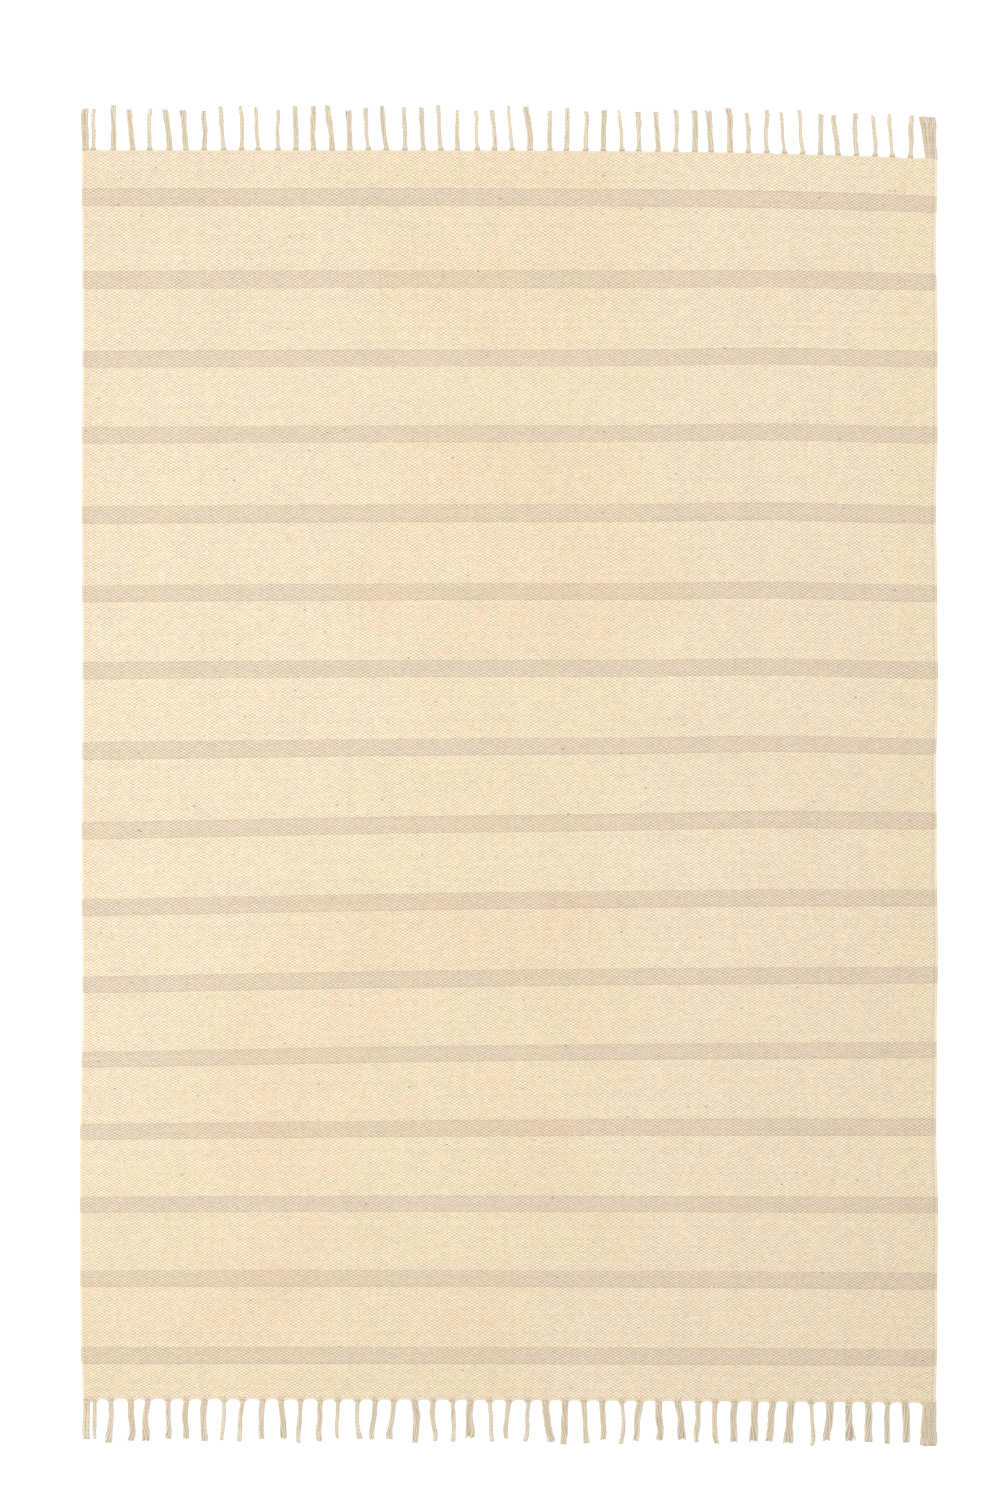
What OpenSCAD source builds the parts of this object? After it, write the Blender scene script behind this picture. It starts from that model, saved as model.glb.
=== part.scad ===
// Flat-woven cotton rug: cream ground with narrow taupe cross stripes, and a knotted
// tassel fringe along both short ends.
// The rug lies face up on Z = 0, with its length along Y and its centre at X = Y = 0.
// The back end is +Y. Bands are numbered from the back end.

/* [Cloth] */
// Width over both selvedges
rug_w = 1200; // [600:10:1600]
// Thickness of the woven cloth
cloth_t = 4.5; // [4:0.1:6]
// Thickness of the weft on each face of the cloth
skin_t = 1.6; // [1.2:0.1:1.6]

/* [Weft] */
// Number of taupe stripes
stripe_count = 16; // [4:1:20]
// Picks (passes of the weft) in one stripe
stripe_picks = 11; // [5:1:21]
// Picks in the ground between two stripes
ground_picks = 41; // [15:1:61]
// Picks in the ground between the first or last stripe and the heading
end_picks = 23; // [9:1:61]
// Length that one pick takes up
pick_pitch = 2.09; // [1.5:0.01:3]
// Share of the length by which the middle has drifted to the front, as the beat grew firmer
beat_drift = 0.0108; // [0:0.0002:0.02]

/* [Warp and edges] */
// Number of warp ends
warp_count = 338; // [120:2:400]
// Length of the tight rim at each end of the weaving
heading_l = 4; // [3:0.5:8]

/* [Fringe] */
// Reach of the fringe past the edge of the weaving
fringe_l = 62; // [40:1:90]
// Radius of a regular tassel
tassel_r = 2.9; // [1.5:0.1:2.9]
// Number of regular tassels at the back end
tassels_back_count = 45; // [15:1:45]
// Number of regular tassels at the front end
tassels_front_count = 43; // [15:1:43]
// Largest lean of a tassel to either side, in degrees
tassel_lean = 4; // [0:0.5:5]
// Lean to the left that the whole back row has besides, in degrees
back_row_lean = 2.5; // [0:0.5:3]
// Largest amount by which a tassel stands off its even spacing
tassel_shift = 1.4; // [0:0.1:2]
// Largest amount by which a tassel is cut short
tassel_trim = 8; // [0:0.5:8]
// Half the height of a knot
knot_r = 2.9; // [2.9:0.1:3.5]
// Width of the knot on a regular tassel
knot_w = 8; // [6:0.5:10]

/* [Hidden] */
cream = [0.94, 0.88, 0.77];
natural = [0.91, 0.85, 0.74];
taupe = [0.86, 0.79, 0.70];
sand = [0.88, 0.81, 0.71];

// A curved face stays this far from a curved face of a piece that moves on it.
clearance = 0.4;

selvedge_r = cloth_t / 2;
field_w = rug_w - 4 * selvedge_r;
total_picks = 2 * end_picks + stripe_count * stripe_picks + (stripe_count - 1) * ground_picks;
field_l = total_picks * pick_pitch;
woven_l = field_l + 2 * heading_l;

warp_pitch = field_w / warp_count;
warp_t = cloth_t - 2 * skin_t;

// Y of the fold line at the roots of the tassels, clear of the knots. A row of tassels turns
// back over the cloth on an axis that stands as far above the floor as this line stands
// from the rim.
root_y = woven_l / 2 + 2 * knot_r + clearance;
tassel_l = woven_l / 2 + fringe_l - root_y;

// Regular tassels stand between the corner tassels of their end.
back_first_x = -rug_w / 2 + 46;
back_last_x = rug_w / 2 - 36;
front_first_x = -rug_w / 2 + 40;
front_last_x = rug_w / 2 - 43;

// Corner tassels: how far the strands stand from the rug's edge at the root and at the tip.
pair_in = [3.2, 7.9, 17];
pair_tip_in = [3, 7.9, 17.6];
fan_in = [for (i = [0 : 3]) 2.4 + 4 * i];
fan_tip_in = [for (i = [0 : 3]) 5.2 + 5.9 * i];
broad_in = [for (i = [0 : 4]) 2.2 + 3.6 * i];
broad_tip_in = [for (i = [0 : 4]) 2.6 + 4.4 * i];
pair_r = 2.3;
strand_r = 1.7;

// How much shorter each corner tassel is than a full one.
back_left_trim = 5;
back_right_trim = 4.5;
front_left_trim = 5.5;
front_right_trim = 1;

knot_sides = 12;

// Knots of the corner tassels: width, and how far the middle stands from the rug's edge.
pair_knot_w = 10;
pair_knot_in = 5.6;
single_knot_in = 17;
fan_knot_w = 12;
fan_knot_in = 10.4;
broad_knot_w = 18;
broad_knot_in = 9.5;

function serial(k) = str(k < 10 ? "0" : "", k);
function ground_name(k) = str("ground_band_", serial(k));
function stripe_name(k) = str("stripe_band_", serial(k));

// Number of the pick at which a band starts or ends, counted from the back end.
function stripe_start(k) = end_picks + (k - 1) * (stripe_picks + ground_picks);
function stripe_end(k) = stripe_start(k) + stripe_picks;
function ground_start(k) = k == 1 ? 0 : stripe_end(k - 1);
function ground_end(k) = k > stripe_count ? total_picks : stripe_start(k);

// Y of a pick: even spacing, with the middle drawn towards the front end.
function pick_y(n) =
    let (s = n / total_picks)
    field_l * (0.5 - s - 4 * beat_drift * s * (1 - s));

// Even places with a small irregularity of its own for each tassel.
function places(first_x, last_x, count, seed) =
    let (shift = rands(-tassel_shift, tassel_shift, count, seed))
    [for (i = [0 : count - 1]) first_x + (last_x - first_x) * i / (count - 1) + shift[i]];

back_x = places(back_first_x, back_last_x, tassels_back_count, 11);
front_x = places(front_first_x, front_last_x, tassels_front_count, 12);

// One run of weft: it shows on both faces of the cloth, with the warp ends between.
module weft_band(first_pick, last_pick, tone) {
    near_y = pick_y(last_pick);
    far_y = pick_y(first_pick);
    color(tone)
        for (z = [0, cloth_t - skin_t])
            translate([-field_w / 2, near_y, z])
                cube([field_w, far_y - near_y, skin_t]);
}

module ground_band(k) {
    weft_band(ground_start(k), ground_end(k), cream);
}

module stripe_band(k) {
    weft_band(stripe_start(k), stripe_end(k), taupe);
}

// Warp ends are pressed square between the weft above and below, and meet it face to face.
module warp_ends() {
    color(natural)
        for (i = [0 : warp_count - 1])
            translate([(i + 0.5) * warp_pitch - (field_w + warp_t) / 2, -field_l / 2, skin_t])
                cube([warp_t, field_l, warp_t]);
}

module selvedge(side) {
    color(cream)
        translate([side * (rug_w / 2 - selvedge_r), woven_l / 2, selvedge_r])
            rotate([90, 0, 0])
                cylinder(h = woven_l, r = selvedge_r, $fn = 48);
}

// The rim is square where it meets the last pick and half round outside.
module heading(end) {
    rim_r = cloth_t / 2;
    flat_l = heading_l - rim_r;
    color(cream)
        scale([1, end, 1])
            translate([-field_w / 2, field_l / 2 + flat_l, rim_r])
                rotate([90, 0, 90])
                    linear_extrude(field_w) {
                        intersection() {
                            circle(rim_r, $fn = 48);
                            translate([0, -rim_r])
                                square([rim_r, cloth_t]);
                        }
                        translate([-flat_l, -rim_r])
                            square([flat_l, cloth_t]);
                    }
}

// A knot is a small flat-sided bar lying across the roots of its tassel.
module knot(x, end, w) {
    translate([x - w / 2, end * (woven_l / 2 + knot_r), knot_r])
        rotate([0, 90, 0])
            rotate([0, 0, 180 / knot_sides])
                cylinder(h = w, r = knot_r / cos(180 / knot_sides), $fn = knot_sides);
}

module knots_back() {
    color(sand) {
        for (x = back_x) knot(x, 1, knot_w);
        knot(-rug_w / 2 + pair_knot_in, 1, pair_knot_w);
        knot(-rug_w / 2 + single_knot_in, 1, knot_w);
        knot(rug_w / 2 - fan_knot_in, 1, fan_knot_w);
    }
}

module knots_front() {
    color(sand) {
        for (x = front_x) knot(x, -1, knot_w);
        knot(-rug_w / 2 + pair_knot_in, -1, pair_knot_w);
        knot(-rug_w / 2 + single_knot_in, -1, knot_w);
        knot(rug_w / 2 - broad_knot_in, -1, broad_knot_w);
    }
}

// A straight strand from the fold line outwards, lying on the floor.
module strand(x, end, lean, r, l) {
    translate([x, end * root_y, r])
        rotate([0, 0, end > 0 ? lean : 180 - lean])
            rotate([-90, 0, 0])
                cylinder(h = l, r = r, $fn = 32);
}

// The first tassel of a row has the full length and no lean, so it sets the fringe's reach.
module tassel_row(xs, end, row_lean, seed) {
    count = len(xs);
    lean = rands(row_lean - tassel_lean, row_lean + tassel_lean, count, seed);
    trim = rands(0, tassel_trim, count, seed + 1);
    color(sand)
        for (i = [0 : count - 1])
            strand(xs[i], end, i == 0 ? 0 : lean[i], tassel_r, tassel_l - (i == 0 ? 0 : trim[i]));
}

module tassels_back() {
    tassel_row(back_x, 1, back_row_lean, 21);
}

module tassels_front() {
    tassel_row(front_x, -1, 0, 31);
}

// Strands set side by side from the rug's edge inwards, each aimed at its own tip.
module corner_tassel(side, end, root_in, tip_in, r, trim) {
    l = tassel_l - trim;
    color(sand)
        for (i = [0 : len(root_in) - 1]) {
            inward = atan((tip_in[i] - root_in[i]) / l);
            strand(side * (rug_w / 2 - root_in[i]), end, side * inward, r, l);
        }
}

module corner_tassel_back_left() {
    corner_tassel(-1, 1, pair_in, pair_tip_in, pair_r, back_left_trim);
}

module corner_tassel_back_right() {
    corner_tassel(1, 1, fan_in, fan_tip_in, strand_r, back_right_trim);
}

module corner_tassel_front_left() {
    corner_tassel(-1, -1, pair_in, pair_tip_in, pair_r, front_left_trim);
}

module corner_tassel_front_right() {
    corner_tassel(1, -1, broad_in, broad_tip_in, strand_r, front_right_trim);
}

for (k = [1 : stripe_count + 1])
    ground_band(k);
for (k = [1 : stripe_count])
    stripe_band(k);
warp_ends();
selvedge(-1);  // selvedge_left
selvedge(1);  // selvedge_right
heading(1);  // heading_back
heading(-1);  // heading_front
knots_back();
knots_front();
tassels_back();
tassels_front();
corner_tassel_back_left();
corner_tassel_back_right();
corner_tassel_front_left();
corner_tassel_front_right();
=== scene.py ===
"""The looks of a flat-woven cotton rug with cross stripes and a knotted tassel fringe.

Lengths are in metres. The cloth is built band by band with one vertex for each crossing of
warp and weft, and every piece of the rug is then settled by the same small displacement.
"""

import math

import bpy
import numpy as np
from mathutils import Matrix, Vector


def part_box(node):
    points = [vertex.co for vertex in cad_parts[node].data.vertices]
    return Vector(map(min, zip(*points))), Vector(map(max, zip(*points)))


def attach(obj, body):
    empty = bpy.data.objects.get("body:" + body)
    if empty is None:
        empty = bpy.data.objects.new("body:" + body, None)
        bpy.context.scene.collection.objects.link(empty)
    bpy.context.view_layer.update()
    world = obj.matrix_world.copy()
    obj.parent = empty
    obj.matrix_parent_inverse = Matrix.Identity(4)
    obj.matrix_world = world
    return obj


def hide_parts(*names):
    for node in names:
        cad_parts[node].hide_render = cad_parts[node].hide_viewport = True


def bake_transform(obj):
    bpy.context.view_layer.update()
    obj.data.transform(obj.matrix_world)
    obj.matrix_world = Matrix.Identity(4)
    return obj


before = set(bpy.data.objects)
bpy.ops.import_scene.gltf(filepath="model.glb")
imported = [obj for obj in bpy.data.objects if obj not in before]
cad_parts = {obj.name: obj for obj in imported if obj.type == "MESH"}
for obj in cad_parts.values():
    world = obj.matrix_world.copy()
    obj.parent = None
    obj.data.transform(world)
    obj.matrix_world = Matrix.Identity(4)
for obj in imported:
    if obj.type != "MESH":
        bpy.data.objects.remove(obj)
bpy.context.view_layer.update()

MM = 0.001

# The weave, as the CAD model has it.
WARP_ENDS = 338
END_PICKS = 23
STRIPE_PICKS = 11
GROUND_PICKS = 41
STRIPES = 16

# Depth of the weave's relief.
RELIEF = 0.5 * MM

# Selvedges: rings for each pick, sides, rings past the last pick and the length of a turn
# there, the depth between two loops as a share of the radius, and how much wider the half of
# the cord is that lies over the cloth.
SELVEDGE_STEPS = 3
SELVEDGE_SIDES = 10
RIM_RINGS = 6
RIM_TURN = 2 * MM
LOOP_DEPTH = 0.07
SELVEDGE_LAP = 1.45

# The rim at each end: its cords, and how far each row of them is drawn out at a tassel's root,
# further at the front end (-1) than at the back end (1).
CORD_R = 1.1 * MM
CORD_STEP = 1.2 * MM
CORD_TURN = 5 * MM
ROW_SHARES = (0.1, 0.4, 0.7, 1.0)
SCALLOP = {1: 1.0 * MM, -1: 4.6 * MM}
ROOT_HALF_W = 3 * MM
ROOT_FILLET = 7 * MM

# Tassels, with one value for each end where the ends differ. The rings stand closer together
# near the root, where a tassel folds.
TASSEL_YARNS = 6
TASSEL_RINGS = 26
RING_CROWDING = 1.4
YARN_R = 1.4 * MM
YARN_TURN = 9 * MM
BUNCH_HALF_W = {1: 2.8 * MM, -1: 3.6 * MM}
BUNCH_HALF_H = 1.2 * MM
FLARE_HALF_W = {1: 3.6 * MM, -1: 5 * MM}
CORNER_FLARE = 2.2 * MM
SWAY = {1: 0.9 * MM, -1: 1.4 * MM}
LEAN = {1: 0.8 * MM, -1: 2.0 * MM}
TIP_PAST = {1: 2.5 * MM, -1: 0.5 * MM}
STRAY_EVERY = 9
STRAY_R = 0.4 * MM

# The core in a tassel, darker than its yarns as painted shade between the strands: its share of the
# bunch, how short it stops, and its tone.
CORE_SHARE = 0.85
CORE_SHORT = 3 * MM
CORE_SHADE_TONE = 0.75

# Knots: the radius of a wrap's yarn, the step between wraps, their sizes from the rim out, the
# rings and twists in a wrap, the width from which a knot counts as broad, and the tone of the
# wrap next to the rim, darkened as painted shade of the rim.
WRAP_R = 1.0 * MM
WRAP_STEP = 1.55 * MM
WRAP_SIZES = {1: (1.02, 1.08, 0.86), -1: (0.98, 0.90, 0.80)}
WRAP_RINGS = 22
WRAP_TWISTS = 5
BROAD_KNOT_W = 11 * MM
SHADED_TONE = 1.2

# Mean tone of a yarn, from its own colour at 0 to the second colour at 1.
YARN_TONE = 0.35
BUNDLE_TONE = 0.60

# Colours as they are seen, in sRGB.
CREAM = (0.945, 0.874, 0.748)
PEACH = (0.945, 0.850, 0.705)
TAUPE = (0.870, 0.802, 0.695)
TAUPE_WARM = (0.876, 0.788, 0.675)
WARP_DOT = (0.982, 0.935, 0.825)
WARP_TINT = (0.982, 0.908, 0.785)
STRIPE_DOT = (0.940, 0.885, 0.790)
STRIPE_TINT = (0.940, 0.865, 0.760)
EDGE = (0.940, 0.875, 0.772)
FRINGE = (0.965, 0.918, 0.825)
FRINGE_DARK = (0.890, 0.808, 0.695)

# Light left in the hollows of the weave, at the sides of a yarn, and between its plies.
HOLLOW_LIGHT = 0.67
SIDE_LIGHT = 0.66
PLY_LIGHT = 0.74

# The studio: where the lamps stand, how wide they are and their watts, and the light all round.
KEY = ((-1.5, -0.4, 2.8), 1.4, 37.5)
FILL = ((1.2, 2.4, 2.8), 2.0, 31.5)
ROOM_LIGHT = 0.69
FLOOR_SIZE = 60
FLOOR_GLOW = 0.3


def linear(srgb):
    """An sRGB colour as the linear RGBA that a shader takes."""
    low = [c / 12.92 for c in srgb]
    high = [((c + 0.055) / 1.055) ** 2.4 for c in srgb]
    return [lo if c <= 0.04045 else hi for c, lo, hi in zip(srgb, low, high)] + [1.0]


def smooth(x, low, high):
    """A soft step from 0 at low to 1 at high."""
    t = np.clip((x - low) / (high - low), 0, 1)
    return t * t * (3 - 2 * t)


# ---------------------------------------------------------------- camera, lights and floor

# The longer side of what the camera sees on the floor, the middle of it, and the lens in mm.
VIEW_HEIGHT = 2.1075
VIEW_X = -0.0133
VIEW_Y = 0.0365
LENS = 85
SENSOR = 36


def make_camera():
    """Straight above the rug, with a long lens."""
    data = bpy.data.cameras.new("camera")
    data.lens = LENS
    data.sensor_width = SENSOR
    camera = bpy.data.objects.new("camera", data)
    bpy.context.scene.collection.objects.link(camera)
    camera.location = (VIEW_X, VIEW_Y, VIEW_HEIGHT * LENS / SENSOR)
    bpy.context.scene.camera = camera


def make_area_light(name, place, size, watts):
    """A round lamp that faces the middle of the rug."""
    data = bpy.data.lights.new(name, "AREA")
    data.shape = "DISK"
    data.size = size
    data.energy = watts
    light = bpy.data.objects.new(name, data)
    bpy.context.scene.collection.objects.link(light)
    light.location = place
    to_floor = -light.location
    light.rotation_mode = "QUATERNION"
    light.rotation_quaternion = to_floor.to_track_quat("-Z", "Y")


def make_studio():
    """A pale floor under even, soft light that comes a little from the left."""
    scene = bpy.context.scene
    scene.view_settings.view_transform = "Standard"
    world = bpy.data.worlds.new("studio")
    scene.world = world
    world.use_nodes = True
    background = world.node_tree.nodes["Background"]
    background.inputs["Color"].default_value = (1.0, 1.0, 1.0, 1.0)
    background.inputs["Strength"].default_value = ROOM_LIGHT
    make_area_light("key", *KEY)
    make_area_light("fill", *FILL)
    bpy.ops.mesh.primitive_plane_add(size=FLOOR_SIZE)
    floor = bpy.context.object
    floor.name = "floor"
    material = bpy.data.materials.new("pale_floor")
    material.use_nodes = True
    shader = material.node_tree.nodes["Principled BSDF"]
    shader.inputs["Base Color"].default_value = (0.95, 0.95, 0.95, 1.0)
    shader.inputs["Roughness"].default_value = 0.9
    shader.inputs["Specular IOR Level"].default_value = 0.1
    shader.inputs["Emission Color"].default_value = (1.0, 1.0, 1.0, 1.0)
    shader.inputs["Emission Strength"].default_value = FLOOR_GLOW
    floor.data.materials.append(material)


# ---------------------------------------------------------------- places, read from the frame


def span(node):
    """The lowest and highest corner of a CAD node, as arrays."""
    low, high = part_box(node)
    return np.array(low), np.array(high)


def solids(node):
    """The vertices of each separate solid of a CAD node, from left to right."""
    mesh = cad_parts[node].data
    co = np.array([v.co for v in mesh.vertices]).reshape(-1, 3)
    microns = np.round(co * 1e6).astype(int)
    keys = {}
    point = np.array([keys.setdefault(tuple(k), len(keys)) for k in microns])
    root = list(range(len(keys)))

    def find(i):
        while root[i] != i:
            root[i] = root[root[i]]
            i = root[i]
        return i

    for edge in mesh.edges:
        a, b = (find(point[i]) for i in edge.vertices)
        root[a] = b
    groups = {}
    for i, p in enumerate(point):
        groups.setdefault(find(p), []).append(i)
    found = [co[members] for members in groups.values()]
    return sorted(found, key=lambda points: points[:, 0].mean())


selvedge_low, selvedge_high = span("selvedge_left")
RUG_W = 2 * abs(selvedge_low[0])
WOVEN_L = selvedge_high[1] - selvedge_low[1]
CLOTH_T = selvedge_high[2]
FIELD_W = span("ground_band_01")[1][0] * 2
FIELD_L = span("ground_band_01")[1][1] * 2
HEADING_L = (WOVEN_L - FIELD_L) / 2
ROOT_Y = span("tassels_back")[0][1]


# ---------------------------------------------------------------- how the rug lies


# How the beat of the weft varies along the rug: half waves in its length, and their size.
BEAT_WAVES = {
    1: -0.7 * MM,
    3: 1.7 * MM,
    4: -4.2 * MM,
    5: 1.0 * MM,
    6: -1.0 * MM,
    8: -0.5 * MM,
    10: 0.8 * MM,
    11: 1.0 * MM,
}


def settle(points):
    """Moves points of the flat rug to where hand-woven cloth lies: uneven beat, skewed picks,
    wavy edges, and a few low cockles. across runs from 0 at the left edge to 1 at the right,
    and along from 0 at the back end to 1 at the front. It is the same for every piece, so
    they stay joined."""
    x, y, z = points[:, 0], points[:, 1], points[:, 2]
    across = np.clip(0.5 + x / RUG_W, 0, 1)
    along = np.clip(0.5 - y / WOVEN_L, 0, 1)
    plateau = smooth(along, 0.43, 0.54) * (1 - smooth(along, 0.73, 0.84))
    skew = 14 * MM * across * plateau
    bow = 3.5 * MM * np.sin(math.pi * across) * np.sin(math.pi * along)
    beat = sum(size * np.sin(n * math.pi * along) for n, size in BEAT_WAVES.items())
    far_half = smooth(along, 0.03, 0.16) * (1 - smooth(along, 0.5, 0.66))
    right_bow = 3.5 * MM * np.exp(-(((across - 0.81) / 0.12) ** 2)) * far_half
    back_corner = -12.6 * MM * across**5 * np.exp(-((along / 0.09) ** 2))
    front_side = -4 * MM * across**2 * np.exp(-(((along - 0.93) / 0.07) ** 2))
    front_edge = 3.5 * MM * (1 - across**2) * smooth(along, 0.965, 1.0)
    dy = skew + bow + beat + right_bow + back_corner + front_side + front_edge
    slack_left = smooth(along, 0.68, 0.76) * (1 - smooth(along, 0.95, 1.0))
    left = -0.5 + 0.8 * np.sin(22 * along - 1.4) - 2.4 * slack_left
    right = 0.5 + 1.1 * np.sin(27 * along - 3.2) + 0.5 * np.sin(61 * along)
    dx = MM * (left * (1 - across) + right * across)
    cockle = np.sin(7 * x + 5 * y + 0.8) * np.sin(11 * y - 4 * x) + 0.7 * np.sin(19 * y + 6 * x + 2)
    edge = 0.35 + 0.65 * np.abs(2 * across - 1) ** 3
    on_cloth = smooth(WOVEN_L / 2 - np.abs(y), 0, 0.05)
    dz = 1.1 * MM * np.clip(cockle, 0, 2) * edge * on_cloth
    return np.stack([x + dx, y + dy, z + dz], 1)


# ---------------------------------------------------------------- meshes


class Yarns:
    """Collects swept tubes and grids into one mesh. Each vertex holds its place in the weave,
    its tone from the first colour to the second, and the light that reaches it."""

    def __init__(self):
        self.points, self.weave, self.tone, self.light = [], [], [], []
        self.quads, self.tris = [], []
        self.count = 0

    def add(self, points, weave, tone, light, quads, tris):
        self.points.append(points)
        self.weave.append(weave)
        self.tone.append(np.broadcast_to(tone, len(points)).astype(float))
        self.light.append(np.broadcast_to(light, len(points)).astype(float))
        self.quads.append(quads + self.count)
        self.tris.append(tris + self.count)
        self.count += len(points)

    def sweep(self, path, side, up, ring_points, weave, tone=0.0, closed=False):
        """A tube along path. side and up span each ring's plane. ring_points is the shape of
        each ring in it, as an array of rings by points by two, and how near each point is to
        the crest of a ply, from 0 to 1."""
        shape, crest = ring_points
        rings, sides = shape.shape[:2]
        offset = shape[..., 0:1] * side[:, None] + shape[..., 1:2] * up[:, None]
        points = (path[:, None] + offset).reshape(-1, 3)
        facing = np.abs(offset[..., 2]) / np.linalg.norm(offset, axis=-1)
        light = (SIDE_LIGHT + (1 - SIDE_LIGHT) * smooth(facing, 0.0, 0.8)) * (
            PLY_LIGHT + (1 - PLY_LIGHT) * crest
        )
        light = light.ravel()
        values = np.repeat(weave, sides, axis=0)
        tones = np.repeat(np.broadcast_to(tone, rings), sides)
        last = rings if closed else rings - 1
        ring, turn = np.meshgrid(np.arange(last), np.arange(sides), indexing="ij")
        after, next_turn = (ring + 1) % rings, (turn + 1) % sides
        quads = np.stack(
            [
                ring * sides + turn,
                ring * sides + next_turn,
                after * sides + next_turn,
                after * sides + turn,
            ],
            -1,
        ).reshape(-1, 4)
        tris = np.zeros((0, 3), int)
        if not closed:
            turn = np.arange(sides)
            next_turn = (turn + 1) % sides
            first, end = rings * sides, rings * sides + 1
            base = (rings - 1) * sides
            start_cap = np.stack([np.full(sides, first), next_turn, turn], 1)
            end_cap = np.stack([np.full(sides, end), base + turn, base + next_turn], 1)
            tris = np.concatenate([start_cap, end_cap])
            points = np.concatenate([points, path[:1], path[-1:]])
            values = np.concatenate([values, weave[:1], weave[-1:]])
            tones = np.concatenate([tones, tones[:1], tones[-1:]])
            light = np.concatenate([light, [SIDE_LIGHT, SIDE_LIGHT]])
        self.add(points, values, tones, light, quads, tris)

    def build(self, piece_name, material):
        """Makes the mesh object, with everything settled as the rug lies."""
        points = settle(np.concatenate(self.points))
        quads, tris = np.concatenate(self.quads), np.concatenate(self.tris)
        mesh = bpy.data.meshes.new(piece_name)
        corners = np.concatenate([quads.ravel(), tris.ravel()]).astype(np.int32)
        starts = np.concatenate(
            [np.arange(len(quads)) * 4, len(quads) * 4 + np.arange(len(tris)) * 3]
        ).astype(np.int32)
        mesh.vertices.add(len(points))
        mesh.vertices.foreach_set("co", points.astype(np.float32).ravel())
        mesh.loops.add(len(corners))
        mesh.loops.foreach_set("vertex_index", corners)
        mesh.polygons.add(len(starts))
        mesh.polygons.foreach_set("loop_start", starts)
        weave = mesh.attributes.new("weave", "FLOAT_VECTOR", "POINT")
        weave.data.foreach_set("vector", np.concatenate(self.weave).astype(np.float32).ravel())
        for name, parts in (("tone", self.tone), ("light", self.light)):
            attribute = mesh.attributes.new(name, "FLOAT", "POINT")
            attribute.data.foreach_set("value", np.concatenate(parts).astype(np.float32))
        mesh.update(calc_edges=True)
        mesh.validate()
        mesh.shade_smooth()
        mesh.materials.append(material)
        obj = bpy.data.objects.new(piece_name, mesh)
        bpy.context.scene.collection.objects.link(obj)
        return obj


def band_grid(yarns, low_y, high_y, first_pick, picks, tone):
    """One band of cloth as a closed slab: a vertex at each crossing on the face and on the
    back, high where the yarn lies over and low where it lies under. tone is how strongly the
    dye of its yarn clouds."""
    u = np.concatenate([[0], np.arange(WARP_ENDS) + 0.5, [WARP_ENDS]])
    v = np.concatenate([[0], np.arange(picks) + 0.5, [picks]])
    uu, vv = np.meshgrid(u, v, indexing="xy")
    x = (uu / WARP_ENDS - 0.5) * FIELD_W
    y = high_y + (low_y - high_y) * vv / picks
    pick = vv + first_pick
    over = np.cos(math.pi * (uu + 0.5)) * np.cos(math.pi * (pick + 0.5))
    face_z = CLOTH_T - RELIEF * (0.5 - 0.5 * over)
    back_z = RELIEF * (0.5 + 0.5 * over)
    rows, cols = uu.shape
    points, weave = [], []
    for z, side in ((face_z, 1.0), (back_z, -1.0)):
        points.append(np.stack([x, y, z], -1).reshape(-1, 3))
        weave.append(np.stack([uu, pick, np.full_like(uu, side)], -1).reshape(-1, 3))
    r, c = np.meshgrid(np.arange(rows - 1), np.arange(cols - 1), indexing="ij")
    a = r * cols + c
    face = np.stack([a, a + cols, a + cols + 1, a + 1], -1).reshape(-1, 4)
    back = face[:, ::-1] + rows * cols
    ring = np.concatenate(
        [
            np.arange(cols - 1),
            np.arange(rows - 1) * cols + cols - 1,
            (rows - 1) * cols + np.arange(cols - 1, 0, -1),
            np.arange(rows - 1, 0, -1) * cols,
        ]
    )
    after = np.roll(ring, -1)
    under = rows * cols
    wall = np.stack([ring, after, after + under, ring + under], 1)
    yarns.add(
        np.concatenate(points),
        np.concatenate(weave),
        tone,
        1.0,
        np.concatenate([face, back, wall]),
        np.zeros((0, 3), int),
    )


def ring_shape(rings, sides, radius, lobes=0.0, turns=0.0):
    """Rings of a two-ply yarn and their crests: lobes is the depth of the groove between the
    plies, as a share of the radius, and turns how often they wind round along the yarn."""
    angle = np.linspace(0, 2 * math.pi, sides, endpoint=False)[None, :]
    wind = np.linspace(0, 2 * math.pi * turns, rings)[:, None]
    crest = np.cos(angle - wind) ** 2
    r = np.broadcast_to(np.asarray(radius, float).reshape(-1, 1), (rings, 1))
    r = r * (1 - lobes * (1 - crest))
    return np.stack([r * np.cos(angle), r * np.sin(angle)], -1), crest


def flat_frames(path):
    """Side and up vectors for a path that runs along the floor."""
    tangent = np.gradient(path, axis=0)
    tangent /= np.linalg.norm(tangent, axis=1, keepdims=True)
    side = np.stack([tangent[:, 1], -tangent[:, 0], np.zeros(len(path))], 1)
    side /= np.linalg.norm(side, axis=1, keepdims=True)
    return side, np.cross(side, tangent)


# ---------------------------------------------------------------- materials


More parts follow.
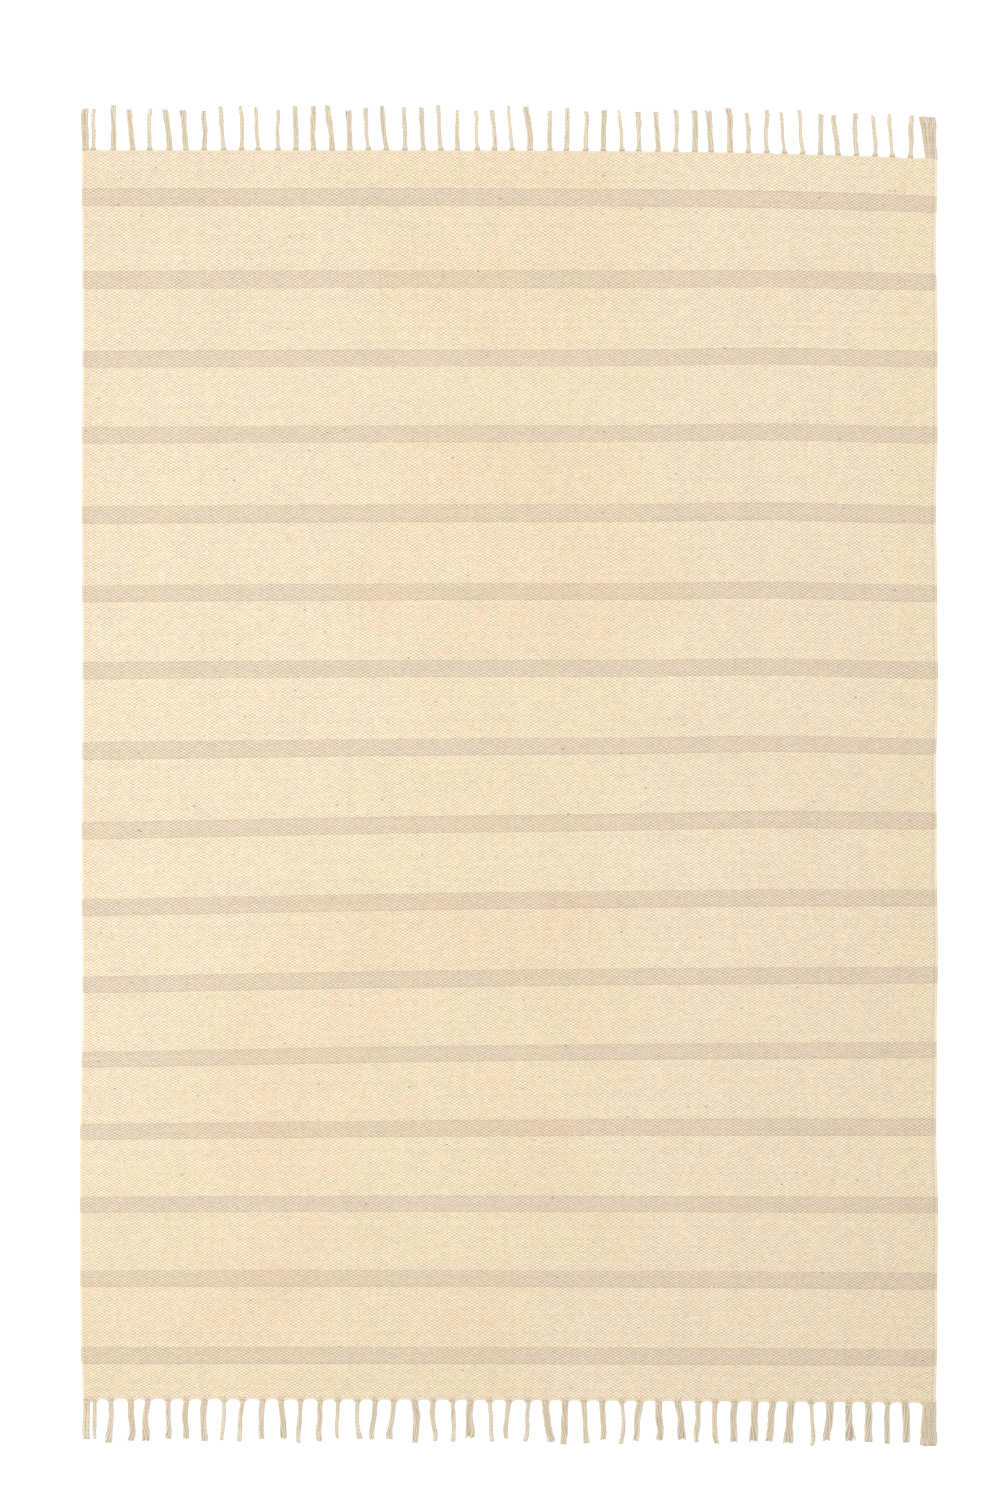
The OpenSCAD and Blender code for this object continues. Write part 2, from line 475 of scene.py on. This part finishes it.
class Graph:
    """Short calls for a material's nodes."""

    def __init__(self, name):
        self.material = bpy.data.materials.new(name)
        self.material.use_nodes = True
        self.tree = self.material.node_tree
        self.shader = self.tree.nodes["Principled BSDF"]

    def put(self, socket, value):
        if isinstance(value, bpy.types.NodeSocket):
            self.tree.links.new(value, socket)
        else:
            socket.default_value = value

    def math(self, operation, a, b=0.0, c=0.0):
        node = self.tree.nodes.new("ShaderNodeMath")
        node.operation = operation
        for socket, value in zip(node.inputs, (a, b, c)):
            self.put(socket, value)
        return node.outputs[0]

    def attribute(self, name):
        node = self.tree.nodes.new("ShaderNodeAttribute")
        node.attribute_name = name
        return node

    def split(self, vector):
        node = self.tree.nodes.new("ShaderNodeSeparateXYZ")
        self.put(node.inputs[0], vector)
        return node.outputs

    def join(self, x, y, z=0.0):
        node = self.tree.nodes.new("ShaderNodeCombineXYZ")
        for socket, value in zip(node.inputs, (x, y, z)):
            self.put(socket, value)
        return node.outputs[0]

    def ramp(self, value, low, high, to_low=0.0, to_high=1.0):
        node = self.tree.nodes.new("ShaderNodeMapRange")
        node.interpolation_type = "SMOOTHSTEP"
        for socket, given in zip(node.inputs, (value, low, high, to_low, to_high)):
            self.put(socket, given)
        return node.outputs[0]

    def noise(self, vector, scale, detail=2.0):
        node = self.tree.nodes.new("ShaderNodeTexNoise")
        self.put(node.inputs["Vector"], vector)
        self.put(node.inputs["Scale"], scale)
        self.put(node.inputs["Detail"], detail)
        return node.outputs["Fac"]

    def random(self, vector):
        node = self.tree.nodes.new("ShaderNodeTexWhiteNoise")
        node.noise_dimensions = "3D"
        self.put(node.inputs["Vector"], vector)
        return node.outputs["Value"]

    def mix(self, share, a, b):
        node = self.tree.nodes.new("ShaderNodeMix")
        node.data_type = "RGBA"
        self.put(node.inputs[0], share)
        self.put(node.inputs[6], a)
        self.put(node.inputs[7], b)
        return node.outputs[2]

    def scale(self, colour, factor):
        node = self.tree.nodes.new("ShaderNodeVectorMath")
        node.operation = "SCALE"
        self.put(node.inputs[0], colour)
        self.put(node.inputs["Scale"], factor)
        return node.outputs[0]

    def bump(self, height, distance):
        node = self.tree.nodes.new("ShaderNodeBump")
        node.inputs["Distance"].default_value = distance
        self.put(node.inputs["Height"], height)
        return node.outputs[0]

    def place(self):
        return self.tree.nodes.new("ShaderNodeTexCoord").outputs["Object"]

    def product(self, *values):
        result = values[0]
        for value in values[1:]:
            result = self.math("MULTIPLY", result, value)
        return result

    def finish(self, colour, normal, sheen):
        """Matt cotton with a faint sheen of loose fibres."""
        self.put(self.shader.inputs["Base Color"], colour)
        self.put(self.shader.inputs["Normal"], normal)
        self.shader.inputs["Roughness"].default_value = 0.92
        self.shader.inputs["Specular IOR Level"].default_value = 0.15
        self.shader.inputs["Sheen Weight"].default_value = sheen
        self.shader.inputs["Sheen Roughness"].default_value = 0.6
        return self.material


def spread(graph, noise, amount):
    """A noise from 0 to 1 as a factor round 1."""
    return graph.math("MULTIPLY_ADD", noise, 2 * amount, 1 - amount)


def dye_and_crease_shade(graph, place):
    """Uneven yarn: soft blotches, and streaks that follow the picks. The darker streaks are partly
    uneven dye and partly painted shade of faint creases.
    """
    x, y, _ = graph.split(place)
    blotch = spread(graph, graph.noise(place, 9.0, 3.0), 0.03)
    along_picks = graph.join(graph.math("MULTIPLY", x, 2.2), graph.math("MULTIPLY", y, 130.0))
    streaks = graph.noise(along_picks, 1.0)
    # Darker streaks: partly uneven dye, partly painted shade of faint creases in the cloth.
    dark = graph.ramp(streaks, 0.66, 0.86, 1.0, 0.90)
    return graph.product(blotch, spread(graph, streaks, 0.03), dark)


def cloud_share(graph, place):
    """Broad warm clouds that wander down the middle of the rug and lean left at its front,
    stronger in some bands than in others, and a warm strip along the right edge."""
    x, y, _ = graph.split(place)
    middle = graph.ramp(y, -0.8, 0.15, -0.27, 0.01)
    reach = graph.ramp(y, -0.75, 0.1, 0.40, 0.21)
    off = graph.math("ABSOLUTE", graph.math("SUBTRACT", x, middle))
    ragged = graph.math("MULTIPLY_ADD", graph.noise(place, 5.0, 3.0), 0.5, -0.25)
    edge = graph.math("DIVIDE", graph.math("ADD", off, ragged), reach)
    patches = graph.ramp(graph.noise(place, 3.7), 0.34, 0.60, 0.50, 1.0)
    strength = graph.attribute("tone").outputs["Fac"]
    clouds = graph.product(graph.ramp(edge, 0.60, 1.25, 1.0, 0.0), patches, strength)
    return graph.math("MAXIMUM", clouds, graph.ramp(x, 0.46, 0.58, 0.0, 0.40))


def tinted(graph, place, colour, tint):
    """The yarn's own colour, with the second hue in the clouds and in small faint patches."""
    small = graph.ramp(graph.noise(place, 55.0), 0.40, 0.75, 0.0, 0.30)
    share = graph.math("MAXIMUM", cloud_share(graph, place), small)
    return graph.mix(share, colour, tint)


def woven_material(name, weft, tint, dot, dot_tint):
    """Plain weave: bright dots of warp stand in a checkerboard, and between them the weft
    dips into hollows that hold less light."""
    g = Graph(name)
    place = g.place()
    u, v, side = g.split(g.attribute("weave").outputs["Vector"])
    u = g.math("ADD", u, g.math("MULTIPLY_ADD", g.noise(place, 110.0), 0.9, -0.45))
    v = g.math("ADD", v, g.math("MULTIPLY_ADD", g.noise(place, 150.0), 1.0, -0.50))
    across = g.math("COSINE", g.math("MULTIPLY", g.math("ADD", u, 0.5), math.pi))
    along = g.math("COSINE", g.math("MULTIPLY", g.math("ADD", v, 0.5), math.pi))
    over = g.product(across, along, side)
    crossing = g.join(g.math("FLOOR", u), g.math("FLOOR", v), side)
    pick = g.join(g.math("FLOOR", v), 7.0, side)
    end = g.join(g.math("FLOOR", u), 3.0, side)
    slack = g.ramp(g.noise(place, 80.0, 3.0), 0.30, 0.68, 0.62, 1.05)
    light = g.ramp(over, -0.95, 0.55, HOLLOW_LIGHT, 1.0)
    light = g.math("MULTIPLY_ADD", g.math("SUBTRACT", light, 1.0), slack, 1.0)
    weft_colour = tinted(g, place, linear(weft), linear(tint))
    dot_colour = tinted(g, place, linear(dot), linear(dot_tint))
    colour = g.mix(g.product(g.ramp(over, -0.35, 0.75), slack), weft_colour, dot_colour)
    shade = g.product(
        light,
        spread(g, g.random(crossing), 0.07),
        spread(g, g.random(pick), 0.02),
        spread(g, g.random(end), 0.01),
        dye_and_crease_shade(g, place),
    )
    seed_husk = g.join(g.math("FLOOR", u), g.math("FLOOR", v), 5.0)
    speck = g.ramp(g.random(seed_husk), 0.9990, 0.9999, 1.0, 0.6)
    fibre = g.noise(place, 1600.0)
    height = g.math("MULTIPLY_ADD", fibre, 0.25, g.ramp(over, -0.9, 0.8))
    return g.finish(g.scale(colour, g.product(shade, speck)), g.bump(height, 0.45 * MM), 0.18)


def yarn_material(name, yarn, second, depth):
    """Twisted yarn: the light attribute darkens its sides and the grooves between its plies,
    depth is how strongly, and the tone attribute moves it from its own colour to the second."""
    g = Graph(name)
    place = g.place()
    own = g.split(g.attribute("weave").outputs["Vector"])[2]
    colour = g.mix(g.attribute("tone").outputs["Fac"], linear(yarn), linear(second))
    light = g.attribute("light").outputs["Fac"]
    shade = g.product(
        g.math("MULTIPLY_ADD", light, depth, 1 - depth),
        spread(g, g.noise(place, 90.0, 3.0), 0.06),
        spread(g, g.random(g.join(own, 1.0, 2.0)), 0.05),
    )
    x, y, z = g.split(place)
    along_yarn = g.join(g.math("MULTIPLY", x, 5.0), y, g.math("MULTIPLY", z, 5.0))
    fibre = g.noise(along_yarn, 420.0)
    height = g.math("MULTIPLY_ADD", fibre, 0.5, light)
    shade = g.product(shade, spread(g, fibre, 0.10))
    return g.finish(g.scale(colour, shade), g.bump(height, 0.3 * MM), 0.25)


# ---------------------------------------------------------------- pieces


def serial(k):
    """A band's number as the names have it."""
    return f"{k:02d}"


def band_facts():
    """Every band from the back end: CAD node, piece, first pick, number of picks, is stripe."""
    pick = 0
    for k in range(1, STRIPES + 2):
        picks = END_PICKS if k in (1, STRIPES + 1) else GROUND_PICKS
        yield f"ground_band_{serial(k)}", f"ground_cloth_{serial(k)}", pick, picks, False
        pick += picks
        if k <= STRIPES:
            yield f"stripe_band_{serial(k)}", f"stripe_cloth_{serial(k)}", pick, STRIPE_PICKS, True
            pick += STRIPE_PICKS


def make_bands(ground, stripe):
    """The cloth itself: a piece and its length for each band, by the piece's name."""
    rng = np.random.default_rng(31)
    made = {}
    for node, name, first, picks, striped in band_facts():
        low, high = span(node)
        yarns = Yarns()
        band_grid(yarns, low[1], high[1], first, picks, rng.uniform(0.25, 0.85))
        piece = yarns.build(name, stripe if striped else ground)
        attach(piece, "rug")
        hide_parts(node)
        made[name] = (piece, high[1] - low[1])
    return made


def pick_places():
    """Y of every pick line in steps of a third of a pick, with its count and its tone."""
    ys, counts, tones = [], [], []
    for node, _, first, picks, striped in band_facts():
        low, high = span(node)
        steps = np.arange(picks * SELVEDGE_STEPS) / SELVEDGE_STEPS
        ys.append(high[1] + (low[1] - high[1]) * steps / picks)
        counts.append(first + steps)
        tones.append(np.full(len(steps), float(striped)))
    return np.concatenate(ys), np.concatenate(counts), np.concatenate(tones)


def boxy(angle):
    """Points round an outline between a circle and a square."""
    both = np.stack([np.cos(angle), np.sin(angle)], -1)
    return np.sign(both) * np.abs(both) ** 0.7


def make_selvedge(side, material):
    """Weft turning round the outer warp: a cord with a loop for each pick."""
    node = "selvedge_left" if side < 0 else "selvedge_right"
    low, high = span(node)
    y, count, tone = pick_places()
    extra = np.arange(1, RIM_RINGS + 1) / (RIM_RINGS + 1) * HEADING_L
    y = np.concatenate([FIELD_L / 2 + extra[::-1], y, -FIELD_L / 2 - extra])
    count = np.concatenate([-extra[::-1] / RIM_TURN, count, count[-1] + extra / RIM_TURN])
    tone = np.concatenate([np.zeros(RIM_RINGS), tone, np.zeros(RIM_RINGS)])
    radius = (high[0] - low[0]) / 2
    centre_x = side * (RUG_W / 2 - radius)
    path = np.stack([np.full(len(y), centre_x), y, np.full(len(y), radius)], 1)
    angle = np.linspace(0, 2 * math.pi, SELVEDGE_SIDES, endpoint=False)
    lay = count[:, None] + angle[None, :] / (2 * math.pi)
    crest = np.abs(np.sin(math.pi * lay))
    shape = radius * boxy(angle)[None] * (1 - LOOP_DEPTH + LOOP_DEPTH * crest)[..., None]
    over_cloth = shape[..., 0] * side < 0
    shape[..., 0] *= np.where(over_cloth, SELVEDGE_LAP, 1.0)
    weave = np.stack([np.zeros(len(y)), count, np.full(len(y), side)], 1)
    yarns = Yarns()
    right = np.broadcast_to([1.0, 0, 0], path.shape)
    up = np.broadcast_to([0, 0, 1.0], path.shape)
    yarns.sweep(path, right, up, (shape, crest), weave, tone)
    piece = yarns.build("edge_left" if side < 0 else "edge_right", material)
    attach(piece, "rug")
    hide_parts(node)
    return piece


def strand_facts(node, end):
    """Root x, tip x and reach of each strand of a node, as its CAD solids have them."""
    facts = []
    for points in solids(node):
        out = points[:, 1] * end
        root = points[out < out.min() + 1 * MM]
        tip = points[out > out.max() - 1 * MM]
        facts.append((root[:, 0].mean(), tip[:, 0].mean(), out.max() - out.min()))
    return facts


def root_dip(x, roots):
    """How far the rim is drawn out at each place: 1 at a root, and a hollow curve beside it."""
    nearest = np.abs(x[:, None] - np.array(roots)[None, :]).min(1)
    t = np.clip((nearest - ROOT_HALF_W) / ROOT_FILLET, 0, 1)
    return (1 - t) ** 2


def make_heading(end, roots, material):
    """The tight last picks: cords that run along the edge and dip out at each tassel's root."""
    node = "heading_back" if end > 0 else "heading_front"
    low, high = span(node)
    x = np.arange(low[0], high[0], CORD_STEP)
    dip = root_dip(x, roots)
    first = FIELD_L / 2 + 0.3 * CORD_R
    row_step = (HEADING_L - 1.3 * CORD_R) / (len(ROW_SHARES) - 1)
    side = np.broadcast_to([0, 1.0, 0], (len(x), 3))
    up = np.broadcast_to([0, 0, 1.0], (len(x), 3))
    turns = (high[0] - low[0]) / CORD_TURN
    ring_points = ring_shape(len(x), 8, CORD_R, 0.12, turns)
    yarns = Yarns()
    for row, share in enumerate(ROW_SHARES):
        for layer in (-1, 1):
            out = first + row * row_step + SCALLOP[end] * share * dip
            out = out + 0.15 * MM * np.sin(x / (7 * MM) + row * 2 + layer)
            z = CLOTH_T / 2 + layer * (CLOTH_T / 2 - CORD_R) * (0.99 - 0.06 * row)
            path = np.stack([x, end * out, np.full(len(x), z)], 1)
            weave = np.stack([x, x / CORD_TURN, np.full(len(x), row + layer * 3.0)], 1)
            yarns.sweep(path, side, up, ring_points, weave)
    piece = yarns.build("rim_back" if end > 0 else "rim_front", material)
    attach(piece, "rug")
    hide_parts(node)
    return piece


def add_yarn(yarns, path, radius, rng, dark=YARN_TONE, sides=8, lobes=0.28):
    """One two-ply yarn along a path on the floor, paler at its tip. dark is its mean tone."""
    side, up = flat_frames(path)
    length = np.linalg.norm(np.diff(path, axis=0), axis=1).sum()
    rings = len(path)
    turns = length / YARN_TURN
    own = rng.random() * 50
    weave = np.stack([np.zeros(rings), np.linspace(0, turns, rings), np.full(rings, own)], 1)
    tone = dark + rng.uniform(-0.25, 0.25) - 0.3 * smooth(np.linspace(0, 1, rings), 0.75, 1.0)
    yarns.sweep(path, side, up, ring_shape(rings, sides, radius, lobes, turns), weave, tone)


def add_tassel(yarns, end, fact, rng, count, half_w, flare, sway, fray, dark=YARN_TONE):
    """A bunch of yarns round a flat core whose darker tone is painted shade between the strands.
    It leaves the heading fanned out by flare, is drawn together at the knot to half_w, and
    lies along the floor with a slight twist, the bend and hook of its sway, and a loose tip.
    fray is how far the tip opens."""
    root_x, tip_x, reach = fact
    start = FIELD_L / 2 + 1.5 * MM
    knot = (WOVEN_L / 2 + ROOT_Y) / 2
    tip = ROOT_Y + reach + TIP_PAST[end]
    out = start + (tip - start) * np.linspace(0, 1, TASSEL_RINGS) ** RING_CROWDING
    past = np.clip((out - knot) / (tip - knot), 0, 1)
    bend, hook = sway
    centre = root_x + (tip_x - root_x) * past + bend * np.sin(math.pi * past)
    centre = centre + hook * np.sin(2 * math.pi * past) * past
    spin = rng.choice([-1, 1]) * rng.uniform(0.25, 0.75)
    phase = rng.uniform(0, 2 * math.pi)
    loose = smooth(past, 0.45, 1.0)
    gathered = smooth(out, start, knot)
    floor_z = BUNCH_HALF_H + YARN_R
    core_z = CLOTH_T / 2 * (1 - gathered) + floor_z * gathered
    core_out = out - CORE_SHORT * past**3
    path = np.stack([centre, end * core_out, core_z], 1)
    shape, crest = ring_shape(TASSEL_RINGS, 8, 1.0)
    shape = shape * [CORE_SHARE * half_w + YARN_R / 2, BUNCH_HALF_H]
    side, up = flat_frames(path)
    weave = np.stack([np.zeros(TASSEL_RINGS), out / YARN_TURN, np.full(TASSEL_RINGS, phase)], 1)
    # The core's darker tone is painted shade seen between the strands.
    yarns.sweep(path, side, up, (shape, crest), weave, CORE_SHADE_TONE)
    for k in range(count):
        place = (k + 0.5) / count * 2 - 1
        angle = phase + 2 * math.pi * (k / count + spin * past)
        opening = 1 + fray * loose * rng.uniform(0.2, 1.6)
        width = half_w * (0.85 + 0.15 * math.sin(5.0 * k)) * opening
        x = centre + place * flare * (1 - gathered) + np.cos(angle) * width * gathered
        x = x + rng.normal(0, 0.45) * MM * np.sin(math.pi * past * rng.uniform(1.5, 3))
        z_edge = CLOTH_T / 2 + 0.4 * MM * math.cos(3.1 * k)
        z_floor = floor_z + BUNCH_HALF_H * np.sin(angle)
        z = z_edge * (1 - gathered) + z_floor * gathered
        y = out - rng.uniform(0, 2.0) * MM * past**3
        radius = YARN_R * (1 - 0.3 * smooth(past, 0.93, 1.0)) * rng.uniform(0.85, 1.1)
        add_yarn(yarns, np.stack([x, end * y, z], 1), radius, rng, dark)


def add_stray(yarns, end, fact, rng, swing):
    """A single thin ply that has come away from its tassel and swings out to one side."""
    root_x, tip_x, reach = fact
    t = np.linspace(0, 1, TASSEL_RINGS)
    x = root_x + (tip_x - root_x) * t + swing * t**1.6
    y = ROOT_Y + 4 * MM + (reach - 8 * MM) * t
    z = STRAY_R * 3 + 1.6 * MM * np.sin(math.pi * t) * (1 - t)
    add_yarn(yarns, np.stack([x, end * y, z], 1), STRAY_R * (1 - 0.5 * t), rng, sides=6, lobes=0.1)


def bend_with_fringe(piece):
    """Bakes the piece's place into its mesh."""
    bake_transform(piece)


def make_tassel_row(end, facts, material):
    """The regular tassels of one end, each with its own width, lean, sway and fray."""
    rng = np.random.default_rng(41 if end > 0 else 42)
    yarns = Yarns()
    for i, (root_x, tip_x, reach) in enumerate(facts):
        count = TASSEL_YARNS - int(rng.random() < 0.2)
        width = BUNCH_HALF_W[end] * rng.uniform(0.45, 1.3)
        sway = rng.normal(0, 1.0, 2).clip(-1.7, 1.7) * SWAY[end]
        fray = 0.55 if rng.random() < 0.25 else 0.15
        fact = (root_x, tip_x + rng.normal(0, LEAN[end]), reach)
        add_tassel(yarns, end, fact, rng, count, width, FLARE_HALF_W[end], sway, fray)
        if i % STRAY_EVERY == STRAY_EVERY - 3:
            add_stray(yarns, end, fact, rng, rng.choice([-1, 1]) * rng.uniform(4, 8) * MM)
    piece = yarns.build("fringe_back" if end > 0 else "fringe_front", material)
    bend_with_fringe(piece)
    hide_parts("tassels_back" if end > 0 else "tassels_front")
    return piece


def corner_name(side, end):
    return ("back" if end > 0 else "front") + ("_left" if side < 0 else "_right")


def make_corner(side, end, material):
    """The tassels at a corner: a wide and a thin one on the left, a loose bundle on the right.
    All the strands of a corner lie side by side with the same sway."""
    node = "corner_tassel_" + corner_name(side, end)
    rng = np.random.default_rng(60 + 2 * side + end)
    if side < 0:
        half_w, fray, dark = 1.6 * MM, 0.1, YARN_TONE
    else:
        half_w, fray, dark = 1.5 * MM, 0.8, BUNDLE_TONE
    sway = (0.3 * MM * side, -0.9 * MM * side)
    count = TASSEL_YARNS - 1
    yarns = Yarns()
    for fact in strand_facts(node, end):
        add_tassel(yarns, end, fact, rng, count, half_w, CORNER_FLARE, sway, fray, dark)
    piece = yarns.build("corner_" + corner_name(side, end), material)
    bend_with_fringe(piece)
    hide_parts(node)
    return piece


def add_knot(yarns, end, low, high, rng):
    """A few turns of yarn drawn tight round the roots of a tassel, the first of them darkened with
    painted shade of the rim. On a broad bundle they lie low, between its strands."""
    broad = high[0] - low[0] > BROAD_KNOT_W
    centre = (low + high) / 2
    half_w = (high[0] - low[0]) / 2 - WRAP_R
    half_h = ((high[2] - low[2]) / 2 - WRAP_R * 0.7) * (0.6 if broad else 1.0)
    turn = np.linspace(0, 2 * math.pi, WRAP_RINGS, endpoint=False)
    cos, sin = np.cos(turn), np.sin(turn)
    slant = rng.normal(0, 0.4) * MM
    for k, grow in enumerate(WRAP_SIZES[end]):
        path = np.stack(
            [
                centre[0] + half_w * grow * np.sign(cos) * np.abs(cos) ** 0.8,
                centre[1] + end * (k - 1) * WRAP_STEP + slant * cos,
                WRAP_R + half_h + half_h * grow * sin,
            ],
            1,
        )
        out = np.stack([cos / half_w, np.zeros(WRAP_RINGS), sin / half_h], 1)
        out /= np.linalg.norm(out, axis=1, keepdims=True)
        along = np.broadcast_to([0, 1.0, 0], path.shape)
        weave = np.stack([cos, WRAP_TWISTS * turn, np.full(WRAP_RINGS, float(k))], 1)
        ring_points = ring_shape(WRAP_RINGS, 6, WRAP_R, 0.15, WRAP_TWISTS)
        # The wrap next to the rim takes a darker tone: painted shade of the rim.
        tone = SHADED_TONE if k == 0 else rng.random() * 0.4
        yarns.sweep(path, along, out, ring_points, weave, tone, closed=True)


def make_knots(end, material):
    """The knots of one end, one for each knot of the CAD model."""
    node = "knots_back" if end > 0 else "knots_front"
    rng = np.random.default_rng(71 if end > 0 else 72)
    yarns = Yarns()
    for points in solids(node):
        add_knot(yarns, end, points.min(0), points.max(0), rng)
    piece = yarns.build("ties_back" if end > 0 else "ties_front", material)
    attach(piece, "rug")
    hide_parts(node)
    return piece


def make_rug():
    """Makes the materials and every piece of the rug."""
    ground = woven_material("cream_plain_weave", CREAM, PEACH, WARP_DOT, WARP_TINT)
    stripe = woven_material("taupe_plain_weave", TAUPE, TAUPE_WARM, STRIPE_DOT, STRIPE_TINT)
    packed = yarn_material("packed_edge_yarn", EDGE, TAUPE, 0.5)
    loose = yarn_material("loose_fringe_yarn", FRINGE, FRINGE_DARK, 1.0)
    bands = make_bands(ground, stripe)
    edges = [make_selvedge(side, packed) for side in (-1, 1)]
    for end in (1, -1):
        facts = strand_facts("tassels_back" if end > 0 else "tassels_front", end)
        roots = [fact[0] for fact in facts]
        for side in (-1, 1):
            roots += [f[0] for f in strand_facts("corner_tassel_" + corner_name(side, end), end)]
        make_heading(end, roots, packed)
        make_knots(end, loose)
        make_tassel_row(end, facts, loose)
        make_corner(-1, end, loose)
        make_corner(1, end, loose)
    # The warp ends run inside the cloth, where its own relief shows them as dots.
    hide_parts("warp_ends")


make_camera()
make_studio()
make_rug()
